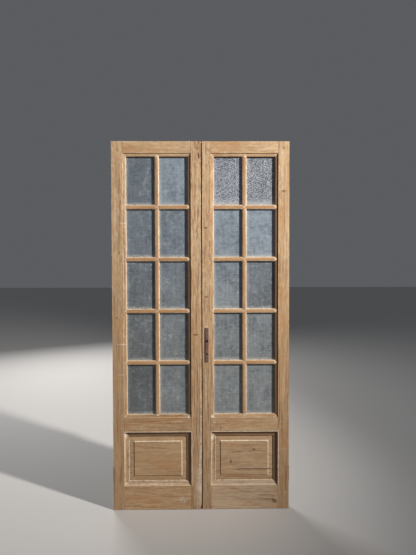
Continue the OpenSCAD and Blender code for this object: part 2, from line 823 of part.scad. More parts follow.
module left_outer_stile() color(wood) leaf(LEFT) outer_stile();
module left_meeting_stile() color(wood) difference() {
    leaf(LEFT) difference() {
        meeting_stile(LEFT);
        old_marks();
    }
    translate([0, front_y, 0]) strike_pockets();
}
module left_top_rail() color(wood) leaf(LEFT) top_rail();
module left_mid_rail() color(wood) leaf(LEFT) mid_rail();
module left_bottom_rail() color(wood) leaf(LEFT) bottom_rail();
module left_panel() color(wood) leaf(LEFT) panel();
module left_vertical_bar() color(wood) leaf(LEFT) vertical_bar();
module left_horizontal_bar_1() color(wood) leaf(LEFT) horizontal_bar(1);
module left_horizontal_bar_2() color(wood) leaf(LEFT) horizontal_bar(2);
module left_horizontal_bar_3() color(wood) leaf(LEFT) horizontal_bar(3);
module left_horizontal_bar_4() color(wood) leaf(LEFT) horizontal_bar(4);
module left_pane_1() color(pale) leaf(LEFT) pane(LEFT, 1);
module left_pane_2() color(pale) leaf(LEFT) pane(LEFT, 2);
module left_pane_3() color(pale) leaf(LEFT) pane(LEFT, 3);
module left_pane_4() color(pale) leaf(LEFT) pane(LEFT, 4);
module left_pane_5() color(pale) leaf(LEFT) pane(LEFT, 5);
module left_pane_6() color(pale) leaf(LEFT) pane(LEFT, 6);
module left_pane_7() color(pale) leaf(LEFT) pane(LEFT, 7);
module left_pane_8() color(pale) leaf(LEFT) pane(LEFT, 8);
module left_pane_9() color(pale) leaf(LEFT) pane(LEFT, 9);
module left_pane_10() color(pale) leaf(LEFT) pane(LEFT, 10);
module left_beads() color(wood) leaf(LEFT) beads();
module left_pegs() color(wood) leaf(LEFT) pegs();
module left_hinge_leaves() color(iron) leaf(LEFT) hinge_leaves();
module left_hinge_screws() color(iron) leaf(LEFT) hinge_screws();
module strike_plate() color(iron) translate([0, front_y, 0]) strike();
module right_outer_stile() color(wood) leaf(RIGHT) outer_stile();
module right_meeting_stile() color(wood) difference() {
    leaf(RIGHT) meeting_stile(RIGHT);
    translate([0, front_y, 0]) lock_pockets();
}
module right_top_rail() color(wood) leaf(RIGHT) top_rail();
module right_mid_rail() color(wood) leaf(RIGHT) mid_rail();
module right_bottom_rail() color(wood) leaf(RIGHT) bottom_rail();
module right_panel() color(wood) leaf(RIGHT) panel();
module right_vertical_bar() color(wood) leaf(RIGHT) vertical_bar();
module right_horizontal_bar_1() color(wood) leaf(RIGHT) horizontal_bar(1);
module right_horizontal_bar_2() color(wood) leaf(RIGHT) horizontal_bar(2);
module right_horizontal_bar_3() color(wood) leaf(RIGHT) horizontal_bar(3);
module right_horizontal_bar_4() color(wood) leaf(RIGHT) horizontal_bar(4);
module right_pane_1() color(pale) leaf(RIGHT) pane(RIGHT, 1);
module right_pane_2() color(pale) leaf(RIGHT) pane(RIGHT, 2);
module right_pane_3() color(pale) leaf(RIGHT) pane(RIGHT, 3);
module right_pane_4() color(pale) leaf(RIGHT) pane(RIGHT, 4);
module right_pane_5() color(pale) leaf(RIGHT) pane(RIGHT, 5);
module right_pane_6() color(pale) leaf(RIGHT) pane(RIGHT, 6);
module right_pane_7() color(pale) leaf(RIGHT) pane(RIGHT, 7);
module right_pane_8() color(pale) leaf(RIGHT) pane(RIGHT, 8);
module right_pane_9() color(pale) leaf(RIGHT) pane(RIGHT, 9);
module right_pane_10() color(pale) leaf(RIGHT) pane(RIGHT, 10);
module right_beads() color(wood) leaf(RIGHT) beads();
module right_pegs() color(wood) leaf(RIGHT) pegs();
module right_hinge_leaves() color(iron) leaf(RIGHT) hinge_leaves();
module right_hinge_screws() color(iron) leaf(RIGHT) hinge_screws();
module lock_plates() color(iron) translate([0, front_y, 0]) plates();
module lock_case() color(iron) translate([0, front_y, 0]) case_body();
module latch_bolt() color(iron) translate([0, front_y, 0]) latch();
module dead_bolt() color(iron) translate([0, front_y, 0]) dead();
module follower() color(iron) translate([0, front_y, 0]) hub();
module frame_hinge_leaves() color(iron) for (side = [LEFT, RIGHT]) leaf(side) frame_leaves();
module hinge_pins() color(iron) for (side = [LEFT, RIGHT]) leaf(side) pins();

left_outer_stile();
left_meeting_stile();
left_top_rail();
left_mid_rail();
left_bottom_rail();
left_panel();
left_vertical_bar();
left_horizontal_bar_1();
left_horizontal_bar_2();
left_horizontal_bar_3();
left_horizontal_bar_4();
left_pane_1();
left_pane_2();
left_pane_3();
left_pane_4();
left_pane_5();
left_pane_6();
left_pane_7();
left_pane_8();
left_pane_9();
left_pane_10();
left_beads();
left_pegs();
left_hinge_leaves();
left_hinge_screws();
strike_plate();
right_outer_stile();
right_meeting_stile();
right_top_rail();
right_mid_rail();
right_bottom_rail();
right_panel();
right_vertical_bar();
right_horizontal_bar_1();
right_horizontal_bar_2();
right_horizontal_bar_3();
right_horizontal_bar_4();
right_pane_1();
right_pane_2();
right_pane_3();
right_pane_4();
right_pane_5();
right_pane_6();
right_pane_7();
right_pane_8();
right_pane_9();
right_pane_10();
right_beads();
right_pegs();
right_hinge_leaves();
right_hinge_screws();
lock_plates();
lock_case();
latch_bolt();
dead_bolt();
follower();
frame_hinge_leaves();
hinge_pins();
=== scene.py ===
import bpy
import math
import random
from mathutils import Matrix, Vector


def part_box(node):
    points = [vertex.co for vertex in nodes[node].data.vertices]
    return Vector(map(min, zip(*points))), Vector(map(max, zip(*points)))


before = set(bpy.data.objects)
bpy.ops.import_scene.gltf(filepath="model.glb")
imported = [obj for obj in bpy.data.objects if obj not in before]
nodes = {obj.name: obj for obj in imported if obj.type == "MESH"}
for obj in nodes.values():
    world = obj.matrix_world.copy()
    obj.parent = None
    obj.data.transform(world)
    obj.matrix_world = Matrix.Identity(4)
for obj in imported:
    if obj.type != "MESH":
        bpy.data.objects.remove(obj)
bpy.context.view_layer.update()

LEAVES = ("left", "right")
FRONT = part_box("right_outer_stile")[0].y
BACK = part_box("right_outer_stile")[1].y
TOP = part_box("right_outer_stile")[1].z
HALF_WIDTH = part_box("right_outer_stile")[1].x

# Where flats end: the outer stiles' from their outer edge, the meeting stiles' from the middle of the
# doors, and the middle rails' above the floor.
OUTER_FLAT = 0.071
MEETING_FLAT = 0.0635
MID_FLAT_END = 0.509
# How far from the middle of the doors the right leaf's lip reaches, which shows in the gap between them.
GAP_END = 0.0095
BARS = [f"horizontal_bar_{row}" for row in range(1, 5)]

# ---------------------------------------------------------------- colours

PALE = (0.66, 0.475, 0.285)
HONEY = (0.55, 0.355, 0.185)
BROWN = (0.32, 0.175, 0.080)
UMBER = (0.150, 0.075, 0.035)
RUSSET = (0.44, 0.215, 0.085)
# CHALK and LIME are also laid as painted highlight, on faces turned up or right toward the light.
CHALK = (0.80, 0.72, 0.60)
LIME = (0.93, 0.84, 0.70)
PINK = (0.36, 0.19, 0.115)
DULL = (0.43, 0.305, 0.185)
TAN = (0.47, 0.285, 0.145)
PITH = (0.19, 0.085, 0.035)
SOOT_AND_SHADE = (0.060, 0.028, 0.022)

# ---------------------------------------------------------------- marks on single boards
# Places are in metres, across the board and then along its grain.

# (across, along, half width, half length)
KNOTS = {
    "right_outer_stile": [(0.534, 2.07, 0.019, 0.009)],
    "right_meeting_stile": [(0.032, 1.835, 0.014, 0.007), (0.036, 1.39, 0.013, 0.006)],
    "left_meeting_stile": [(-0.034, 1.145, 0.019, 0.007)],
    "left_outer_stile": [(-0.522, 1.675, 0.006, 0.008), (-0.544, 1.255, 0.006, 0.007)],
    "right_panel": [(0.388, 0.344, 0.007, 0.012), (0.310, 0.194, 0.013, 0.009)],
    "right_bottom_rail": [(0.049, 0.480, 0.016, 0.020)],
}
# (across, from, to, width, slope)
CRACKS = {
    "right_panel": [
        (0.370, 0.15, 0.28, 0.0018, 0.0), (0.258, 0.19, 0.49, 0.0036, 0.0),
        (0.300, 0.30, 0.48, 0.0009, -0.05)],
    "right_bottom_rail": [
        (0.136, 0.18, 0.36, 0.0012, -0.18), (0.078, 0.33, 0.50, 0.0018, -0.12),
        (0.060, 0.36, 0.50, 0.0012, -0.03), (0.100, 0.40, 0.50, 0.0010, -0.25)],
    "left_panel": [(0.405, -0.42, -0.24, 0.0008, 0.0), (0.240, -0.40, -0.30, 0.0008, 0.0)],
    "left_mid_rail": [(0.575, -0.49, -0.30, 0.0010, 0.01)],
}
# (across, along, half width, half length, colour, strength)
STAINS = {
    "left_top_rail": [(2.330, -0.30, 0.003, 0.12, BROWN, 0.5)],
    "left_mid_rail": [
        (0.555, -0.475, 0.026, 0.030, RUSSET, 0.7), (0.60, -0.30, 0.004, 0.19, BROWN, 0.5),
        (0.608, -0.076, 0.008, 0.012, LIME, 0.8), (0.530, -0.12, 0.020, 0.030, PINK, 0.6)],
    "left_meeting_stile": [
        (-0.016, 1.215, 0.010, 0.035, RUSSET, 0.7), (-0.022, 2.345, 0.012, 0.013, UMBER, 0.75),
        (0.000, 0.62, 0.0045, 0.55, LIME, 0.9), (-0.006, 0.20, 0.013, 0.24, CHALK, 0.95),
        (-0.022, 0.14, 0.014, 0.13, CHALK, 0.5), (-0.040, 0.40, 0.010, 0.16, RUSSET, 0.4),
        (-0.070, 0.608, 0.007, 0.012, LIME, 0.8), (-0.040, 0.585, 0.022, 0.030, PINK, 0.7)],
    "left_outer_stile": [
        (-0.500, 1.865, 0.020, 0.004, CHALK, 0.8), (-0.520, 1.084, 0.032, 0.004, CHALK, 0.8),
        (-0.533, 2.332, 0.011, 0.011, UMBER, 0.75), (-0.520, 0.886, 0.030, 0.003, CHALK, 0.6),
        (-0.490, 0.488, 0.009, 0.022, LIME, 0.9), (-0.492, 0.165, 0.009, 0.012, LIME, 0.8)],
    "left_bottom_rail": [(0.165, -0.30, 0.004, 0.20, LIME, 0.6), (0.060, -0.12, 0.030, 0.030, CHALK, 0.4)],
    "right_top_rail": [(2.325, 0.30, 0.003, 0.15, BROWN, 0.4)],
    "right_mid_rail": [
        (0.535, 0.127, 0.024, 0.004, UMBER, 0.9), (0.580, 0.20, 0.010, 0.10, PINK, 0.6),
        (0.608, 0.080, 0.009, 0.013, LIME, 1.0), (0.572, 0.088, 0.006, 0.010, LIME, 0.7),
        (0.560, 0.10, 0.030, 0.020, PINK, 0.6)],
    "right_meeting_stile": [
        (0.036, 1.196, 0.013, 0.007, CHALK, 0.9), (0.032, 0.77, 0.006, 0.16, CHALK, 0.6),
        (0.049, 2.333, 0.013, 0.012, UMBER, 0.75), (0.015, 1.70, 0.005, 0.30, CHALK, 0.4),
        (0.070, 0.610, 0.008, 0.013, LIME, 0.9), (0.018, 0.70, 0.006, 0.30, RUSSET, 0.5),
        (0.074, 0.47, 0.010, 0.020, LIME, 0.7)],
    "right_outer_stile": [
        (0.536, 2.346, 0.012, 0.012, UMBER, 0.75), (0.534, 0.393, 0.030, 0.003, CHALK, 0.5),
        (0.534, 0.109, 0.030, 0.003, CHALK, 0.5)],
    "right_bottom_rail": [
        (0.050, 0.490, 0.016, 0.022, CHALK, 0.7), (0.060, 0.470, 0.010, 0.012, UMBER, 0.7)],
}
# How much chalk is left in a board, where it isn't USUAL_CHALK.
USUAL_CHALK = 0.3
CHALKY = {"left_outer_stile": 0.50, "left_vertical_bar": 0.5, "right_vertical_bar": 0.4}
# Boards whose grain and dirt show more than the others'.
BUSY = {
    "left_meeting_stile": 1.7, "right_meeting_stile": 1.7, "left_mid_rail": 1.9, "right_mid_rail": 1.6,
    "left_bottom_rail": 1.9, "right_bottom_rail": 1.9, "right_panel": 1.5,
}
# How much darker or paler some boards are in their lower part.
DARKER = {
    "left_mid_rail": 0.16, "left_outer_stile": 0.20, "left_meeting_stile": 0.08,
    "right_meeting_stile": 0.12, "right_outer_stile": 0.10, "left_panel": 0.05,
}
PALER = {"right_bottom_rail": 0.22, "right_panel": 0.06}
# Where the flat of a board ends at a moulding turned away from the light, which is painted dark as shade.
SHADED_FROM = {
    "right_outer_stile": HALF_WIDTH - OUTER_FLAT,
    "left_meeting_stile": -MEETING_FLAT,
    "left_mid_rail": MID_FLAT_END,
    "right_mid_rail": MID_FLAT_END,
}
# How pale each pane's dust makes it, in reading order. The first two on the right leaf are pebbled.
DUST_ON_PANES = {
    "left": (0.17, 0.30, 0.20, 0.22, 0.18, 0.22, 0.17, 0.24, 0.15, 0.24),
    "right": (0.28, 0.22, 0.29, 0.31, 0.28, 0.18, 0.26, 0.26, 0.27, 0.28),
}
PEBBLED = ("right_pane_1", "right_pane_2")
# Painted shade on the lock plates, (across, up, half width, half height): a painted shadow along the left
# edge, and painted shade round the two holes.
PLATE_PAINTED_SHADE = [
    (0.0265, 1.077, 0.0035, 0.120), (0.0385, 1.103, 0.0090, 0.0090), (0.0385, 1.021, 0.0060, 0.0100)]


# ---------------------------------------------------------------- node helpers

class Graph:
    """A material's node tree, with a short method for each kind of node and the colour so far."""

    def __init__(self, name):
        self.material = bpy.data.materials.new(name)
        self.material.use_nodes = True
        self.tree = self.material.node_tree
        self.shader = self.tree.nodes["Principled BSDF"]
        coordinates = self.tree.nodes.new("ShaderNodeTexCoord")
        self.where = coordinates.outputs["Object"]
        self.facing = coordinates.outputs["Normal"]
        self.colour = None

    def node(self, kind, **settings):
        made = self.tree.nodes.new(kind)
        for key, value in settings.items():
            setattr(made, key, value)
        return made

    def put(self, socket, value):
        if isinstance(value, bpy.types.NodeSocket):
            self.tree.links.new(value, socket)
        else:
            socket.default_value = value

    def shade(self, **sockets):
        """Sets the shader's sockets, with _ in place of a space in their names."""
        for name, value in sockets.items():
            self.put(self.shader.inputs[name.replace("_", " ")], value)

    def math(self, operation, a, b=0.0):
        n = self.node("ShaderNodeMath", operation=operation)
        self.put(n.inputs[0], a)
        self.put(n.inputs[1], b)
        return n.outputs[0]

    def plus(self, first, *others):
        for other in others:
            first = self.math("ADD", first, other)
        return first

    def minus(self, a, b):
        return self.math("SUBTRACT", a, b)

    def times(self, first, *others):
        for other in others:
            first = self.math("MULTIPLY", first, other)
        return first

    def unless(self, amount, other):
        """amount, but none of it where other is 1."""
        return self.times(amount, self.minus(1.0, other))

    def swing(self, value, strength):
        """A noise that swings strength times as far, round 0 in place of 0.5."""
        return self.times(self.minus(value, 0.5), strength)

    def move(self, vector, offset):
        n = self.node("ShaderNodeVectorMath", operation="ADD")
        self.put(n.inputs[0], vector)
        self.put(n.inputs[1], offset)
        return n.outputs["Vector"]

    def split(self, vector):
        n = self.node("ShaderNodeSeparateXYZ")
        self.put(n.inputs[0], vector)
        return n.outputs

    def join(self, x, y, z):
        n = self.node("ShaderNodeCombineXYZ")
        for socket, value in zip(n.inputs, (x, y, z)):
            self.put(socket, value)
        return n.outputs[0]

    def noise(self, vector, scale, detail, rough=0.55):
        n = self.node("ShaderNodeTexNoise")
        self.put(n.inputs["Vector"], vector)
        self.put(n.inputs["Scale"], scale)
        self.put(n.inputs["Detail"], detail)
        self.put(n.inputs["Roughness"], rough)
        return n.outputs["Fac"]

    def cells(self, vector, scale):
        n = self.node("ShaderNodeTexVoronoi")
        self.put(n.inputs["Vector"], vector)
        self.put(n.inputs["Scale"], scale)
        return n.outputs["Distance"]

    def span(self, value, low, high, to_low=0.0, to_high=1.0):
        """value between low and high, smoothly, as a number between to_low and to_high."""
        n = self.node("ShaderNodeMapRange", interpolation_type="SMOOTHSTEP")
        self.put(n.inputs["Value"], value)
        self.put(n.inputs["From Min"], low)
        self.put(n.inputs["From Max"], high)
        self.put(n.inputs["To Min"], to_low)
        self.put(n.inputs["To Max"], to_high)
        return n.outputs[0]

    def mix(self, amount, a, b):
        n = self.node("ShaderNodeMix", data_type="RGBA")
        self.put(n.inputs["Factor"], amount)
        sockets = [s for s in n.inputs if s.type == "RGBA"]
        for socket, value in zip(sockets, (a, b)):
            self.put(socket, value if isinstance(value, bpy.types.NodeSocket) else (*value, 1.0))
        return [s for s in n.outputs if s.type == "RGBA"][0]

    def lay(self, amount, tint, strength=1.0):
        """Lays tint over the colour so far where amount is 1."""
        if strength != 1.0:
            amount = self.times(amount, strength)
        self.colour = self.mix(amount, self.colour, tint)

    def bump(self, height, strength, distance):
        n = self.node("ShaderNodeBump")
        self.put(n.inputs["Height"], height)
        self.put(n.inputs["Strength"], strength)
        self.put(n.inputs["Distance"], distance)
        return n.outputs[0]

    def corner(self, distance, inside=False):
        """1 in a tight inner corner and 0 on an open face. With inside, it is 1 on a sharp arris instead."""
        n = self.node("ShaderNodeAmbientOcclusion", samples=6, inside=inside, only_local=inside)
        self.put(n.inputs["Distance"], distance)
        return self.minus(1.0, n.outputs["AO"])

    def ellipse(self, a, b, place, halves):
        """Distance from a place in a and b, which is 1 at the ellipse with these half sizes."""
        parts = [self.times(self.minus(axis, at), 1 / half)
                 for axis, at, half in zip((a, b), place, halves)]
        return self.math("SQRT", self.plus(*[self.times(part, part) for part in parts]))

    def line(self, coordinate, at, width):
        """1 on a plane and 0 from width away."""
        off = self.math("ABSOLUTE", self.minus(coordinate, at))
        return self.span(off, width, width * 0.5)


# ---------------------------------------------------------------- wood

class Pine(Graph):
    """One board of stripped pine, with its grain along x or z. Joints are where lines of dirt cross it."""

    RING_WIDTH = 0.0075

    def __init__(self, name, along, seed, joints):
        super().__init__(name)
        self.name = name
        self.joints = joints
        self.is_bar = "bar" in name
        self.is_panel = name.endswith("panel")
        self.chalk = CHALKY.get(name, USUAL_CHALK)
        self.busy = BUSY.get(name, 1.0)
        self.streaky = 1.0 if along == "z" else 0.6
        self.rng = random.Random(seed)
        shift = self.rng.uniform(-40, 40)
        self.offset = (shift, shift * 0.7, shift * 1.3)
        self.x, self.y, self.z = self.split(self.where)
        self.across, self.lengthways = (self.x, self.z) if along == "z" else (self.z, self.x)
        low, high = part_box(name)
        self.middle = (low.x + high.x) / 2 if along == "z" else (low.z + high.z) / 2
        self.sunk = self.math("MINIMUM", self.minus(self.y, FRONT), self.minus(BACK, self.y))
        self.moved = self.move(self.where, self.offset)
        self.fibre = self.grain_noise(0.02, 520.0, 3.0, 0.62)
        self.streak = self.grain_noise(0.035, 85.0, 4.0, 0.62)
        self.patch = self.noise(self.moved, 6.0, 4.0, 0.6)
        self.mottle = self.noise(self.moved, 46.0, 4.0, 0.65)
        grit = self.noise(self.moved, 240.0, 3.0, 0.7)
        self.ragged = self.minus(grit, 0.5)
        self.patchy = self.span(self.plus(self.mottle, self.times(self.ragged, 0.9)), 0.40, 0.60)
        self.mostly = self.plus(self.times(self.patchy, 0.6), 0.4)
        self.find_sides()
        self.find_rings()
        self.paint_grain()
        if self.is_bar:
            self.paint_bar()
        self.paint_low_part()
        self.paint_corners()
        self.paint_flecks()
        self.paint_marks()
        self.finish()

    def grain_place(self, stretch):
        """Place in the board, with lengths along the grain drawn out."""
        place = self.join(self.across, self.y, self.times(self.lengthways, stretch))
        return self.move(place, self.offset)

    def grain_noise(self, stretch, scale, detail, rough):
        return self.noise(self.grain_place(stretch), scale, detail, rough)

    def find_sides(self):
        """Painted light and shade for the key light at the upper right: faces turned up or right are painted
        pale, as highlight with some chalk, and faces turned down or left are painted dark, as shade.
        """
        nx, _, nz = self.split(self.facing)
        across_x = self.span(self.math("ABSOLUTE", self.x), HALF_WIDTH - 0.002, HALF_WIDTH - 0.006)
        from_middle = self.math("ABSOLUTE", self.minus(self.z, TOP / 2))
        inner = self.times(across_x, self.span(from_middle, TOP / 2 - 0.002, TOP / 2 - 0.006))
        turned = self.plus(nx, nz)
        self.highlight_and_chalk_side = self.times(self.span(turned, 0.25, 0.60), inner)
        self.painted_shade_side = self.times(self.span(turned, -0.25, -0.60), inner)
        # On these boards the mouldings turned away from the light are painted dark all over, as shade.
        if self.name in SHADED_FROM:
            edge = SHADED_FROM[self.name]
            shaded = self.span(self.across, edge, edge - 0.0015)
            self.painted_shade_side = self.math("MAXIMUM", self.painted_shade_side, shaded)

    def find_rings(self):
        """Growth rings round a heart behind the board, drifting along it and pushed aside by knots."""
        drift = self.swing(self.noise(self.grain_place(0.16), 6.0, 2.0), 0.10)
        off_a = self.minus(self.across, self.middle + self.rng.uniform(-0.05, 0.05))
        off_y = self.plus(self.y, self.rng.uniform(0.04, 0.10) * self.rng.choice((-1, 1)))
        radius = self.math("SQRT", self.plus(self.times(off_a, off_a), self.times(off_y, off_y)))
        rings = self.plus(radius, drift)
        self.knot_spot = 0.0
        for across, far, half_a, half_f in KNOTS.get(self.name, ()):
            apart = self.ellipse(self.across, self.lengthways, (across, far), (half_a, half_f))
            rings = self.plus(rings, self.span(apart, 4.5, 0.4, 0.0, half_a * 2.6))
            spot = self.span(self.plus(apart, self.times(self.ragged, 3.0)), 1.1, 0.6)
            self.knot_spot = self.math("MAXIMUM", self.knot_spot, spot)
        wave = self.math("FRACT", self.times(rings, 1 / self.RING_WIDTH))
        self.late_wood = self.times(self.span(wave, 0.2, 0.9), self.span(wave, 1.0, 0.92))

    def paint_grain(self):
        band = self.grain_noise(0.05, 26.0, 3.0, 0.55)
        speck = self.grain_noise(0.16, 150.0, 3.0, 0.65)
        thread = self.grain_noise(0.018, 230.0, 2.0, 0.55)
        smudge = self.grain_noise(0.30, 75.0, 4.0, 0.7)
        self.colour = self.mix(self.span(band, 0.36, 0.64), PALE, HONEY)
        self.lay(self.span(self.streak, 0.49, 0.64), BROWN, 0.52 * self.streaky)
        self.lay(self.late_wood, BROWN, 0.32)
        self.lay(self.span(self.fibre, 0.50, 0.78), BROWN, 0.45)
        self.lay(self.span(self.mottle, 0.44, 0.74), CHALK, 0.05 + 0.45 * self.chalk)
        self.lay(self.span(self.patch, 0.44, 0.70), DULL, 0.6)
        self.lay(self.span(speck, 0.52, 0.66), CHALK, 0.14 + 0.25 * self.chalk)
        self.lay(self.span(speck, 0.46, 0.34), BROWN, 0.22 * self.busy)
        self.lay(self.span(thread, 0.56, 0.68), BROWN, 0.45 * self.busy)
        self.lay(self.span(smudge, 0.52, 0.64), PALE, 0.38 * self.busy)
        self.lay(self.span(smudge, 0.47, 0.36), PINK, 0.40 * self.busy)

    def paint_bar(self):
        """Bars are orange along the ridge and pale along the edges."""
        self.lay(self.span(self.sunk, 0.0070, 0.0058), RUSSET, 0.60)
        rim = self.times(self.span(self.sunk, 0.0062, 0.0074), self.span(self.sunk, 0.012, 0.010))
        self.lay(self.times(rim, self.patchy), LIME, 0.85)

    def paint_low_part(self):
        """The doors are browner low down, with stains and dark lines in the grain."""
        low_down = self.span(self.plus(self.z, self.times(self.patch, 0.5)), 2.1, 1.1)
        stain = self.noise(self.move(self.grain_place(0.3), (7, 7, 7)), 16.0, 4.0, 0.6)
        vein = self.noise(self.move(self.grain_place(0.05), (3, 5, 2)), 120.0, 3.0, 0.6)
        dark_lines = self.times(self.span(self.streak, 0.58, 0.64), self.span(self.z, 2.2, 0.6, 0.35, 0.9))
        self.lay(low_down, TAN, 0.48)
        self.lay(low_down, UMBER, DARKER.get(self.name, 0.0))
        self.lay(low_down, CHALK, PALER.get(self.name, 0.0))
        self.lay(self.span(stain, 0.48, 0.72), RUSSET, 0.55)
        self.lay(dark_lines, UMBER, 0.5 * self.streaky)
        self.lay(self.span(vein, 0.57, 0.64), UMBER, 0.34 * self.busy * self.streaky)
        self.lay(self.span(vein, 0.43, 0.36), PALE, 0.30 * self.busy)

    def paint_corners(self):
        """What the stripping left: filler in the corners, dirt in the tightest ones, lime on the arrises.
        With these go painted highlight and painted shade on the faces turned toward and away from the light,
        and near-black painted shade in the deepest corners.
        """
        wide = self.corner(0.022)
        tight = self.corner(0.004)
        arris = self.corner(0.0055, inside=True)
        filler = self.times(self.span(wide, 0.40, 0.62), self.span(wide, 0.86, 0.72),
                            self.unless(self.patchy, self.painted_shade_side))
        self.lay(filler, CHALK, 0.75)
        # Painted highlight, with chalk, on faces turned up or right.
        highlight_and_chalk = self.times(self.highlight_and_chalk_side, self.mostly)
        if self.is_panel:
            self.lay(highlight_and_chalk, LIME, 0.95)
        else:
            self.lay(highlight_and_chalk, CHALK, 0.4)
        # Painted shade on faces turned down or left.
        self.lay(self.painted_shade_side, UMBER, 0.45 if self.is_bar else 0.82)
        self.lay(self.times(self.span(tight, 0.18, 0.5), self.span(self.mottle, 0.60, 0.44)), UMBER, 0.85)
        # Dirt and painted shade, near black, in the deepest corners.
        self.paint_soot_and_shade(self.span(wide, 0.70, 0.84))
        worn = self.times(self.span(arris, 0.12, 0.42), self.span(self.mottle, 0.32, 0.52))
        worn = self.times(worn, self.span(self.sunk, 0.0012, 0.0024))
        self.lay(self.unless(worn, self.painted_shade_side), LIME, 0.5 if self.is_bar else 0.85)
        if self.name in SHADED_FROM:
            self.paint_worn_highlight_line(SHADED_FROM[self.name] + 0.0025)

    def paint_soot_and_shade(self, soot_and_shade):
        """Near black in the deepest corners, as dirt and painted shade, but the lip that shows in the gap
        between the leaves is bare in its lower part.
        """
        if self.name == "right_meeting_stile":
            in_gap = self.span(self.across, GAP_END + 0.001, GAP_END)
            bare = self.times(in_gap, self.span(self.z, 1.45, 1.20))
            soot_and_shade = self.unless(soot_and_shade, bare)
            self.lay(bare, RUSSET, 0.7)
        self.lay(soot_and_shade, SOOT_AND_SHADE, 0.95)

    def paint_worn_highlight_line(self, at):
        """A pale line where the flat breaks down to the moulding beside the panel that is painted as shade:
        wear, and a painted highlight on the arris.
        """
        under = self.span(self.z, 0.53, 0.51)
        over = self.span(self.z, 0.15, 0.17)
        beside = self.times(under, self.mostly, over)
        self.lay(self.times(self.line(self.across, at, 0.0035), beside), LIME, 0.75)

    def paint_flecks(self):
        spots = self.noise(self.moved, 150.0, 4.0, 0.75)
        self.lay(self.span(self.plus(spots, self.times(self.patch, 0.25)), 0.80, 0.86), CHALK, 0.8)
        self.hollow = self.span(self.cells(self.moved, 30.0), 0.075, 0.045)
        self.lay(self.hollow, UMBER, 0.6)

    def paint_marks(self):
        """The seams at the joints, and this board's own stains, knots and cracks."""
        for far in self.joints:
            wavy = self.plus(self.lengthways, self.times(self.ragged, 0.002))
            self.lay(self.line(wavy, far, 0.0022), UMBER, 0.75)
        for across, far, half_a, half_f, tint, strength in STAINS.get(self.name, ()):
            apart = self.ellipse(self.across, self.lengthways, (across, far), (half_a, half_f))
            spot = self.span(self.plus(apart, self.times(self.ragged, 3.0)), 1.3, 0.4)
            self.lay(self.times(spot, self.plus(self.times(self.patchy, 0.7), 0.3)), tint, strength)
        if self.name in KNOTS:
            self.lay(self.knot_spot, PITH, 0.85)
        for across, start, end, width, slope in CRACKS.get(self.name, ()):
            wander = self.swing(self.noise(self.where, 12.0, 3.0), 0.016)
            wander = self.minus(wander, self.times(self.minus(self.lengthways, start), slope))
            within = self.times(self.span(self.lengthways, start, start + 0.06),
                                self.span(self.lengthways, end, end - 0.04))
            crack = self.times(self.line(self.plus(self.across, wander), across, width), within)
            self.lay(crack, SOOT_AND_SHADE, 0.9)
            self.hollow = self.math("MAXIMUM", self.hollow, crack)

    def finish(self):
        height = self.plus(self.times(self.fibre, 0.6), self.times(self.late_wood, 0.3))
        height = self.plus(height, self.times(self.mottle, 0.9))
        height = self.minus(height, self.hollow)
        self.shade(
            Base_Color=self.colour, Roughness=self.span(self.fibre, 0.3, 0.7, 0.60, 0.82),
            Specular_IOR_Level=0.35, Normal=self.bump(height, 0.55, 0.0008))


# ---------------------------------------------------------------- glass and iron

def glass(name, seed, dust):
    """Old obscured glass under dust, which sets how pale the pane is, with a crust along two edges."""
    g = Graph(name)
    pebbled = name in PEBBLED
    rng = random.Random(seed)
    shift = rng.uniform(-30, 30)
    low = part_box(name)[0]
    at = g.move(g.where, (shift, 0, shift))
    x, y, z = g.split(at)
    real_x, _, height = g.split(g.where)
    cloud = g.noise(g.join(x, y, g.times(z, rng.uniform(0.5, 1.0))), 8.0, 3.0, 0.6)
    blotch = g.noise(at, 42.0, 5.0, 0.72)
    upright = g.noise(g.join(x, y, g.times(z, 0.07)), 80.0, 3.0, 0.6)
    level = g.noise(g.join(g.times(x, 0.08), y, z), 170.0, 2.0, 0.6)
    grit = g.noise(at, 330.0, 3.0, 0.7)
    grain = g.noise(at, 160.0, 3.0) if pebbled else g.cells(at, 190.0)
    tone = g.plus(g.times(cloud, 0.36), g.times(upright, 0.22))
    tone = g.plus(tone, g.times(blotch, 0.40), g.swing(level, 0.22))
    if pebbled:
        tone = g.plus(tone, g.times(g.minus(grain, 0.49), 2.9))

    cool = [1.05 * dust * k for k in ((0.90, 0.96, 1.16) if pebbled else (0.83, 1.0, 1.19))]
    neutral = [dust * k for k in (0.92, 1.0, 1.04)]
    g.colour = g.mix(g.span(height, 0.9, 1.9), neutral, cool)
    g.lay(g.span(tone, 0.52, 0.36), (0.07, 0.085, 0.10), 0.85 if pebbled else 0.55)
    g.lay(g.span(tone, 0.50, 0.70), (0.50, 0.55, 0.60), 0.6 if pebbled else 0.45)
    spots = g.plus(g.noise(at, 210.0, 3.0, 0.75), g.times(blotch, 0.3))
    g.lay(g.span(spots, 0.74, 0.84), (0.62, 0.66, 0.68), 0.8)
    above = g.plus(g.minus(height, low.z), g.swing(blotch, 0.06))
    crust = g.times(g.span(above, 0.05 if pebbled else 0.028, 0.010), g.span(grit, 0.42, 0.60))
    g.lay(crust, (0.66, 0.67, 0.66), 0.75)
    beside = g.plus(g.minus(real_x, low.x), g.swing(blotch, 0.05))
    crust = g.times(g.span(beside, 0.026, 0.010), g.span(grit, 0.46, 0.62))
    g.lay(crust, (0.60, 0.62, 0.62), 0.6)
    grime = g.times(g.span(g.corner(0.016), 0.30, 0.8), g.span(grit, 0.35, 0.6))
    g.lay(grime, (0.34, 0.33, 0.29), 0.5)

    relief = g.plus(grain, g.times(upright, 0.5))
    g.shade(
        Base_Color=g.colour, Roughness=g.span(tone, 0.3, 0.7, 0.28, 0.50),
        Transmission_Weight=0.10, IOR=1.5, Normal=g.bump(relief, 0.55 if pebbled else 0.22, 0.0012))
    return g.material


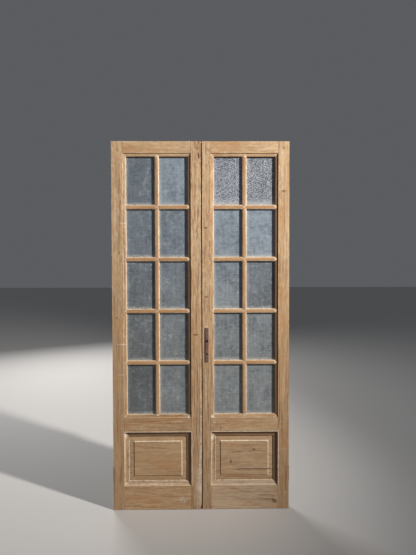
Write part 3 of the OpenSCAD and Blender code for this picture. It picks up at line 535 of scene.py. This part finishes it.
def rust(name, skin, bloom_share, seed, metallic, shade_patches=()):
    """Old iron under rust: skin is its dark colour, and bloom_share how much has turned orange.
    The last argument lists patches of painted shade, near black: (across, up, half width, half height) in
    metres."""
    g = Graph(name)
    at = g.move(g.where, (seed, seed, seed))
    cloud = g.noise(at, 60.0, 5.0, 0.65)
    pit = g.noise(at, 520.0, 4.0, 0.7)
    bloom = g.noise(g.move(at, (9, 4, 2)), 130.0, 4.0, 0.6)
    start = 0.62 - bloom_share * 0.2
    g.colour = g.mix(g.span(cloud, 0.35, 0.65), skin, tuple(1.9 * k for k in skin))
    g.lay(g.span(bloom, start, start + 0.18), (0.26, 0.105, 0.045), 0.7)
    g.lay(g.span(pit, 0.55, 0.75), (0.035, 0.022, 0.018), 0.7)
    # Near black in the corners, as dirt and painted shade.
    g.lay(g.span(g.corner(0.007), 0.15, 0.6), (0.018, 0.012, 0.010), 0.9)
    g.lay(g.span(g.corner(0.0015, inside=True), 0.1, 0.5), tuple(3.2 * k for k in skin), 0.5)
    x, _, z = g.split(g.where)
    # Patches of painted shade, near black.
    for across, up, half_x, half_z in shade_patches:
        apart = g.ellipse(x, z, (across, up), (half_x, half_z))
        g.lay(g.span(apart, 1.2, 0.7), (0.012, 0.009, 0.008), 0.9)
    height = g.plus(pit, g.times(cloud, 0.6))
    g.shade(
        Base_Color=g.colour, Metallic=metallic, Roughness=g.span(bloom, 0.35, 0.7, 0.48, 0.88),
        Normal=g.bump(height, 0.6, 0.0006))
    return g.material


# ---------------------------------------------------------------- CAD nodes

def dress(node, material):
    materials = nodes[node].data.materials
    materials.clear()
    materials.append(material)


def soften(node):
    """Rounds the arrises of a CAD node a little, as wear does."""
    modifiers = nodes[node].modifiers
    modifiers.new("weld", "WELD").merge_threshold = 0.00002
    bevel = modifiers.new("bevel", "BEVEL")
    bevel.width = 0.0007
    bevel.segments = 2
    bevel.limit_method = "ANGLE"
    bevel.angle_limit = math.radians(28)
    bevel.use_clamp_overlap = True
    bevel.harden_normals = False


def dress_leaf(side, seed):
    """Wood and glass for one leaf. Each board and pane takes the next seed, and the last one is returned."""
    sign = -1 if side == "left" else 1
    shoulders = [sign * (HALF_WIDTH - OUTER_FLAT), sign * MEETING_FLAT]
    boards = {part: ("z", []) for part in ("outer_stile", "meeting_stile", "vertical_bar", "beads", "pegs")}
    boards |= {part: ("x", shoulders) for part in ("top_rail", "mid_rail", "bottom_rail")}
    boards |= {part: ("x", []) for part in ("panel", *BARS)}
    for part, (along, joints) in boards.items():
        seed += 1
        node = f"{side}_{part}"
        dress(node, Pine(node, along, seed, joints).material)
        if part not in ("beads", "pegs"):
            soften(node)
    for i, dust in enumerate(DUST_ON_PANES[side], 1):
        seed += 1
        node = f"{side}_pane_{i}"
        dress(node, glass(node, seed, dust))
    return seed


last_seed = 0
for side in LEAVES:
    last_seed = dress_leaf(side, last_seed)

plate_rust = rust("plate_rust", (0.125, 0.074, 0.064), 0.50, 1.0, 0.2, PLATE_PAINTED_SHADE)
lock_rust = rust("lock_rust", (0.075, 0.060, 0.052), 0.30, 2.0, 0.55)
# The follower is made near black as painted shade, so the hole through the lock plate reads dark.
hub_shade_black = rust("hub_shade_black", (0.012, 0.010, 0.009), 0.05, 4.0, 0.2)
hinge_rust = rust("hinge_rust", (0.070, 0.052, 0.044), 0.45, 3.0, 0.5)
dress("lock_plates", plate_rust)
dress("follower", hub_shade_black)
for node in ("lock_case", "latch_bolt", "dead_bolt", "strike_plate"):
    dress(node, lock_rust)
for node in nodes:
    if "hinge" in node:
        dress(node, hinge_rust)

# ---------------------------------------------------------------- stage

FLOOR_HALF = 30.0
corners = [(-FLOOR_HALF, -FLOOR_HALF, 0), (FLOOR_HALF, -FLOOR_HALF, 0),
           (FLOOR_HALF, FLOOR_HALF, 0), (-FLOOR_HALF, FLOOR_HALF, 0)]
floor_mesh = bpy.data.meshes.new("floor")
floor_mesh.from_pydata(corners, [], [(0, 1, 2, 3)])
floor = bpy.data.objects.new("floor", floor_mesh)
bpy.context.scene.collection.objects.link(floor)
floor.location.z = -0.002
floor_graph = Graph("floor")
floor_graph.shade(Base_Color=(0.62, 0.61, 0.60, 1.0), Roughness=0.85)
floor_mesh.materials.append(floor_graph.material)

world = bpy.data.worlds.new("studio")
world.use_nodes = True
background = world.node_tree.nodes["Background"]
background.inputs["Color"].default_value = (0.80, 0.84, 0.90, 1.0)
background.inputs["Strength"].default_value = 0.13
bpy.context.scene.world = world
bpy.context.scene.view_settings.view_transform = "Standard"


def add_light(kind, name, place, target, power, colour, **settings):
    data = bpy.data.lights.new(name, kind)
    data.energy = power
    data.color = colour
    for key, value in settings.items():
        setattr(data, key, value)
    light = bpy.data.objects.new(name, data)
    light.location = place
    light.rotation_euler = (Vector(target) - Vector(place)).to_track_quat("-Z", "Y").to_euler()
    bpy.context.scene.collection.objects.link(light)


add_light("SPOT", "key", (5.0, -2.9, 4.1), (0.5, 0, 2.5), 2950, (1.0, 0.955, 0.90),
          spot_size=math.radians(54), spot_blend=1.0, shadow_soft_size=0.16)
add_light("AREA", "fill", (-3.0, -4.5, 2.4), (0, 0, 1.2), 14, (0.90, 0.95, 1.0), size=3.0)
add_light("AREA", "back", (-2.5, 4.5, 3.2), (0, 0, 1.2), 160, (1.0, 0.98, 0.95), size=2.5)

camera_data = bpy.data.cameras.new("camera")
camera_data.sensor_width = 36
camera_data.lens = 26.6
camera = bpy.data.objects.new("camera", camera_data)
camera.location = (0.013, FRONT - 2.645, 1.580)
camera.rotation_euler = (math.radians(90 - 1.4), math.radians(0.14), math.radians(-0.73))
bpy.context.scene.collection.objects.link(camera)
bpy.context.scene.camera = camera
